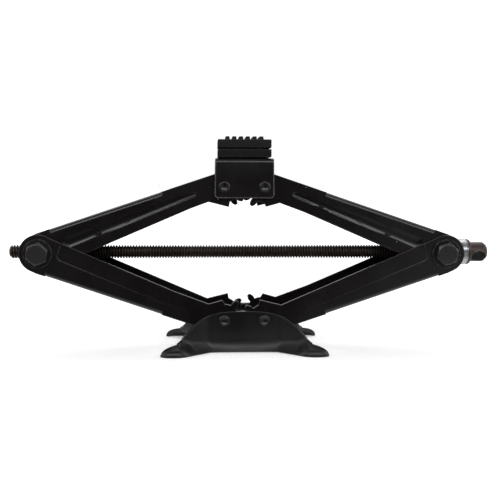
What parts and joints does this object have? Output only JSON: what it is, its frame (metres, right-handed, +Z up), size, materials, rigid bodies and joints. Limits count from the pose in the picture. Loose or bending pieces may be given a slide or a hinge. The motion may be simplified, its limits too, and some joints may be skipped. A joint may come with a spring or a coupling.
{
  "type": "scissor jack",
  "caption": "Low diamond-shaped scissor jack with geared channel arms, a lead screw turned at an eye, a flared pressed stand and a studded rubber pad.",
  "frame": {"origin": "on the floor under the middle of the stand, midway between its two pins", "axes": "+X along the screw towards the drive eye, +Y from the front face to the rear, +Z up"},
  "size_m": [0.4281, 0.1048, 0.188],
  "materials": {
    "stand_paint": "satin black enamel over pressed steel",
    "arm_paint": "gloss black enamel over pressed steel",
    "saddle_paint": "satin black enamel over pressed steel",
    "pin_steel": "blackened steel",
    "bolt_steel": "dark zinc-phosphate steel",
    "washer_steel": "dark plated steel",
    "trunnion_steel": "oiled dark steel",
    "screw_steel": "oiled dark steel, greased thread",
    "zinc_shell": "pale zinc-plated sheet",
    "bearing_steel": "ground bearing steel",
    "forged_steel": "bare forged steel with brown scale",
    "tray_paint": "satin black enamel",
    "pad_rubber": "matt black studded rubber"
  },
  "bodies": {
    "base": {"base_stand": "stand_paint", "base_pin_left": "pin_steel", "base_pin_right": "pin_steel"},
    "lower_left": {"lower_left_arm": "arm_paint"},
    "lower_right": {"lower_right_arm": "arm_paint"},
    "upper_left": {"upper_left_arm": "arm_paint"},
    "upper_right": {"upper_right_arm": "arm_paint"},
    "left_trunnion": {"left_trunnion_nut": "trunnion_steel", "left_front_bolt": "bolt_steel", "left_rear_bolt": "bolt_steel", "left_front_washer": "washer_steel", "left_rear_washer": "washer_steel"},
    "right_trunnion": {"right_trunnion": "trunnion_steel", "right_front_bolt": "bolt_steel", "right_rear_bolt": "bolt_steel", "right_front_washer": "washer_steel", "right_rear_washer": "washer_steel", "bearing_rear_race": "bearing_steel", "bearing_shell": "zinc_shell"},
    "ball_ring": {"bearing_balls": "bearing_steel"},
    "screw": {"lead_screw": "screw_steel", "bearing_front_race": "bearing_steel", "thrust_washer": "zinc_shell", "drive_eye": "forged_steel"},
    "saddle": {"saddle_bracket": "saddle_paint", "saddle_pin_left": "pin_steel", "saddle_pin_right": "pin_steel", "pad_backing_plate": "tray_paint", "pad_tray": "tray_paint", "rubber_pad": "pad_rubber", "pad_bolt": "bolt_steel", "pad_nut": "bolt_steel"}
  },
  "joints": [
    {"name": "lift", "type": "hinge", "parent": "base", "child": "lower_left", "pos_m": [-0.0175, 0, 0.0278], "axis": [0, 1, 0], "range_deg": [-14.4, 46.1]},
    {"name": "lower_right_pivot", "type": "hinge", "parent": "base", "child": "lower_right", "pos_m": [0.0175, 0, 0.0278], "axis": [0, 1, 0], "range_deg": [-46.6, 14.9]},
    {"name": "left_trunnion_pivot", "type": "hinge", "parent": "lower_left", "child": "left_trunnion", "pos_m": [-0.17829, 0, 0.086], "axis": [0, 1, 0], "range_deg": [-46.6, 14.9]},
    {"name": "upper_left_pivot", "type": "hinge", "parent": "lower_left", "child": "upper_left", "pos_m": [-0.17829, 0, 0.086], "axis": [0, 1, 0], "range_deg": [-93, 29.6]},
    {"name": "saddle_pivot", "type": "hinge", "parent": "upper_left", "child": "saddle", "pos_m": [-0.0175, 0, 0.14421], "axis": [0, 1, 0], "range_deg": [-14.9, 46.6]},
    {"name": "right_trunnion_pivot", "type": "hinge", "parent": "lower_right", "child": "right_trunnion", "pos_m": [0.17829, 0, 0.086], "axis": [0, 1, 0], "range_deg": [-14.9, 46.6]},
    {"name": "upper_right_pivot", "type": "hinge", "parent": "lower_right", "child": "upper_right", "pos_m": [0.17829, 0, 0.086], "axis": [0, 1, 0], "range_deg": [-29.6, 93]},
    {"name": "screw_spin", "type": "hinge", "parent": "right_trunnion", "child": "screw", "pos_m": [0.17829, 0, 0.086], "axis": [1, 0, 0], "continuous": true},
    {"name": "ball_ring_spin", "type": "hinge", "parent": "right_trunnion", "child": "ball_ring", "pos_m": [0.17829, 0, 0.086], "axis": [1, 0, 0], "continuous": true}
  ],
  "couplings": [
    {"joint": "lower_right_pivot", "follows": "lift", "ratio": -1},
    {"joint": "left_trunnion_pivot", "follows": "lift", "ratio": -1},
    {"joint": "upper_left_pivot", "follows": "lift", "ratio": -2},
    {"joint": "saddle_pivot", "follows": "lift", "ratio": 1},
    {"joint": "right_trunnion_pivot", "follows": "lift", "ratio": 1},
    {"joint": "upper_right_pivot", "follows": "lift", "ratio": 2},
    {"joint": "ball_ring_spin", "follows": "screw_spin", "ratio": 0.5}
  ]
}
